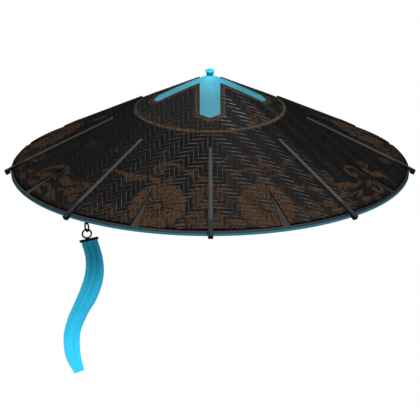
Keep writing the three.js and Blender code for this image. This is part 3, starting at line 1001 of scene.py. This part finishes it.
def add_knob():
    """A cloth-covered button, gathered in small folds under its shoulder."""
    rows = [(0.15, 147.33), (2.2, 146.3), (4.65, 145.1), (4.72, 145.8), (5, 147), (5.4, 148.2), (5.9, 149.5),
            (6.3, 150.6), (6.42, 151.3), (6.3, 152), (6, 152.6), (5.4, 153.1), (4.5, 153.45), (3.2, 153.7),
            (1.6, 153.8), (0.15, 153.82)]
    sides, folds = 96, 18
    points = []
    for k in range(sides):
        a = 2 * pi * k / sides
        for r, z in rows:
            gathered = min(1, max(0, (151.4 - z) / 2)) * min(1, max(0, (z - 145.4) / 1.5))
            reach = r - abs(0.1 * sin(a * folds) * gathered)
            points.append((reach * cos(a), reach * sin(a), z))
    faces = grid_faces(sides, len(rows), closed=True)
    # The button cloth gives off a painted glow of strength 0.22.
    shader = cloth_shader("button_cloth", knob_colour, 0.22, 0.9)
    weld(add_piece("button", points, faces, shader, "lining_cloth", ["knob"], 70))


def tube(route, radius, sides, closed=False):
    """A round wire along a list of points."""
    route = [Vector(p) for p in route]
    n = len(route)
    points = []
    normal = None
    for i, p in enumerate(route):
        ahead = route[(i + 1) % n] if closed or i + 1 < n else p
        behind = route[i - 1] if closed or i else p
        along = (ahead - behind).normalized()
        if normal is None:
            normal = along.orthogonal().normalized()
        normal = (normal - along * normal.dot(along)).normalized()
        other = along.cross(normal)
        for k in range(sides):
            a = 2 * pi * k / sides
            points.append(p + radius * (cos(a) * normal + sin(a) * other))
    faces = grid_faces(n, sides, closed)
    if not closed:
        faces.append(tuple(reversed(range(sides))))
        faces.append(tuple(range((n - 1) * sides, n * sides)))
    return [tuple(p) for p in points], faces


def add_ring(name, node, centre_z, turn, shader, opening):
    """A jump ring of round wire whose two ends meet. turn and opening are in degrees."""
    a = radians(turn)
    gap, steps = 0.012, 80
    route = []
    for k in range(steps + 1):
        b = radians(opening) + gap + (2 * pi - 2 * gap) * k / steps
        side, up = RING_RADIUS * cos(b), RING_RADIUS * sin(b)
        route.append((DROP_X + side * cos(a), DROP_Y + side * sin(a), centre_z + up))
    points, faces = tube(route, RING_WIRE, 20)
    weld(add_piece(name, points, faces, shader, "black_wire", [node], 50))


def add_eye(shader):
    """A plain wire loop under the hem, for the drop to hang from."""
    turn, half, wire = radians(24), 2.2, 0.7
    bow_bottom = UPPER_CENTRE + RING_RADIUS - RING_WIRE - 0.2 - wire
    bow_centre = bow_bottom + half

    def at(side, z):
        return DROP_X + side * cos(turn), DROP_Y + side * sin(turn), z

    def leg(side):
        x, y, _ = at(side, 0)
        top = lining_top(hypot(x, y) + wire) - LINING_WALL - 0.2
        return [at(side, z) for z in np.linspace(top, bow_centre, 8)]

    bow = [at(half * cos(a), bow_centre + half * sin(a)) for a in np.linspace(pi, 2 * pi, 25)]
    points, faces = tube(leg(-half)[:-1] + bow + leg(half)[::-1][1:], wire, 16)
    weld(add_piece("wire_eye", points, faces, shader, "black_wire", ["ribbon_eye"], 50))


def add_crimp(shader):
    """A rounded crimp bar on the ribbon's end, with a small wire bail round the lower ring."""
    turn, bail_turn, roll = radians(28), radians(18), tan(radians(2.5))
    shift, sink, bail, wire = 3.2, 0.35, 2.05, 0.45
    work = bmesh.new()
    bmesh.ops.create_cube(work, size=1)
    bmesh.ops.scale(work, verts=work.verts, vec=(29, 3.4, 3.3))
    bmesh.ops.bevel(work, geom=list(work.edges), offset=0.8, segments=4, profile=0.5, affect="EDGES")
    middle = Vector((DROP_X, DROP_Y, (CLAMP_TOP + CLAMP_UNDER) / 2 - sink))
    for v in work.verts:
        along, across = v.co.x + shift, v.co.y
        squeeze = 0.12 * (cos(v.co.x * 1.8) - 1) * (abs(across) > 1.2)
        across += squeeze * copysign(1, across)
        v.co = middle + Vector((along * cos(turn) - across * sin(turn),
                                along * sin(turn) + across * cos(turn), v.co.z + along * roll))
    points = [tuple(v.co) for v in work.verts]
    faces = [[v.index for v in f.verts] for f in work.faces]
    work.free()
    loop = []
    for a in np.linspace(0, 2 * pi, 48, endpoint=False):
        side = bail * cos(a)
        loop.append((DROP_X - side * sin(bail_turn), DROP_Y + side * cos(bail_turn),
                     BAIL_CENTRE + bail * sin(a)))
    loop_points, loop_faces = tube(loop, wire, 12, closed=True)
    faces += [[k + len(points) for k in face] for face in loop_faces]
    add_piece("ribbon_crimp", points + loop_points, faces, shader, "black_wire", ["ribbon_clamp"], 45)


# The ribbon

# Across, forward and down from the clamp, then width, turn in degrees and pleat depth.
RIBBON_ROWS = [
    (3.2, -1.2, 0.3, 25.1, 27, 1.7), (9.2, 4.7, 20.8, 25.9, 27, 1.7), (10.3, 6, 42.9, 29.3, 28, 1.5),
    (5.8, 2, 66.2, 33.3, 29, 1), (-3, -5.9, 92.1, 36.2, 32, 0.6), (-13.3, -15.1, 116.7, 34.8, 36, 0.3),
    (-21.2, -22.3, 146.5, 31.1, 41, 0.25), (-19.5, -21, 176, 28, 46, 0.15),
    (-11, -13.6, 197.8, 18.8, 48, 0.1),
]
RIBBON_COLUMNS = 56


def ribbon_skins():
    """Rows of points round the ribbon's front and back, and how far each lies out of or into a pleat."""
    across, forward, down, width, turn, pleat = (c[:, None] for c in smooth_rows(RIBBON_ROWS, 18).T)
    down = down - 1.4 * np.clip(1 - down / 6, 0, 1)
    turn = np.radians(turn)
    share = np.linspace(-0.5, 0.5, RIBBON_COLUMNS + 1)
    pinch = np.clip(down / 9, 0.35, 1)
    wave = np.where(np.abs(share) < 1 / 3, np.cos(6 * np.pi * share), 1 - 0.6 * (np.abs(share) * 6 - 2) ** 2)
    drift = 0.35 * np.sin(down * 0.05 + share * 9)
    out = pleat * pinch * (np.sign(wave) * np.abs(wave) ** 0.8) + drift * np.clip(down / 60, 0, 1)
    side = share * width
    half = 0.28 + 0.12 * np.clip((np.abs(share) - 0.47) / 0.02, 0, 1)
    skins = []
    for face in (1, -1):
        depth = out + face * half
        x = DROP_X + across + side * np.cos(turn) + depth * np.sin(turn)
        y = DROP_Y - forward + side * np.sin(turn) - depth * np.cos(turn)
        z = np.broadcast_to(CLAMP_UNDER - down, x.shape)
        skins.append(np.stack([x, y, z], axis=2)[:, ::face])
    fold = wave * pinch
    return np.concatenate(skins, axis=1), np.concatenate([fold, fold[:, ::-1]], axis=1)


def ribbon_shader():
    """Fine ribbed ribbon, darker at the clamp, with painted shade in the hollows of its pleats."""
    s = Shader("ribbon_cloth", 0.8, 0.08)
    place = s.place()
    _, _, z = s.parts(place)
    down = s.minus(CLAMP_UNDER - SEAT, z)
    upper = s.mix(s.ramp(down, 5, 75, smooth=False), (24, 100, 123), (34, 140, 172))
    colour = s.fade(down, 21, 126, upper, (54, 198, 240))
    # Painted shade in the pleats' hollows, fading out down the ribbon.
    pleat_shade = s.times(s.ramp(s.attribute("fold"), 0.1, -0.9), s.ramp(down, 95, 5, 0, 0.42))
    colour = s.mix(pleat_shade, colour, (14, 62, 78))
    rib = s.sine(s.times(z, 2 * pi / 0.9))
    slub = s.noise(s.stretch(place, (0.5, 0.5, 3)), 1)
    # The ribbon gives off a painted glow of strength 0.15.
    finish_cloth(s, colour, rib, slub, 0.95, 0.15, 0.00006)
    return s


def add_ribbon():
    """One length of ribbon, pleated twice into the clamp, whose pleats open as it swings to and fro."""
    points, fold = ribbon_skins()
    count, around = points.shape[:2]
    faces = grid_faces(count, around)
    last = (count - 1) * around
    for i in range(RIBBON_COLUMNS):
        j = around - 1 - i
        faces.append((i, i + 1, j - 1, j))
        faces.append((last + j, last + j - 1, last + i + 1, last + i))
    ribbon = add_piece("ribbon_drop", points.reshape(-1, 3), faces, ribbon_shader(), "ribbon_cloth",
                       ["ribbon"], 60, fold=fold.reshape(-1))


# The scene

add_camera()
add_floor()
add_world(to_eye=1, to_surfaces=0.3, to_gloss=0.012)
add_sun("key", azimuth=290, elevation=34, strength=3.28, spread=20)
add_sun("fill", azimuth=96, elevation=27, strength=1.4, spread=40)
bpy.context.scene.view_settings.view_transform = "Standard"

across_lacquer = weave_shader("weave_across", (0.05, 1.4, 0.4), (-0.75, 0, 0.3, 1), (0.12, 1))
along_lacquer = weave_shader("weave_along", (1.4, 0.05, 0.4), (-0.05, 0.3, 0.7, 0.12), (0.22, 0.05))
add_weave("weave_across_front", False, -LAST_STRIP, 0, across_lacquer)
add_weave("weave_across_back", False, 0, LAST_STRIP + 1, across_lacquer)
add_weave("weave_along_left", True, -LAST_STRIP, 0, along_lacquer)
add_weave("weave_along_right", True, 0, LAST_STRIP + 1, along_lacquer)
add_backing()
add_lining()
add_band()
cane = cane_shader()
hook_lacquer = hook_shader()
for i in range(RIBS):
    add_rib(i, cane)
    add_hook(i, hook_lacquer)
add_knob()
wire = wire_shader()
add_eye(wire)
add_ring("jump_ring_upper", "ring_upper", UPPER_CENTRE, -66, wire, 10)
add_ring("jump_ring_lower", "ring_lower", LOWER_CENTRE, 8, wire, 160)
add_crimp(wire)
add_ribbon()
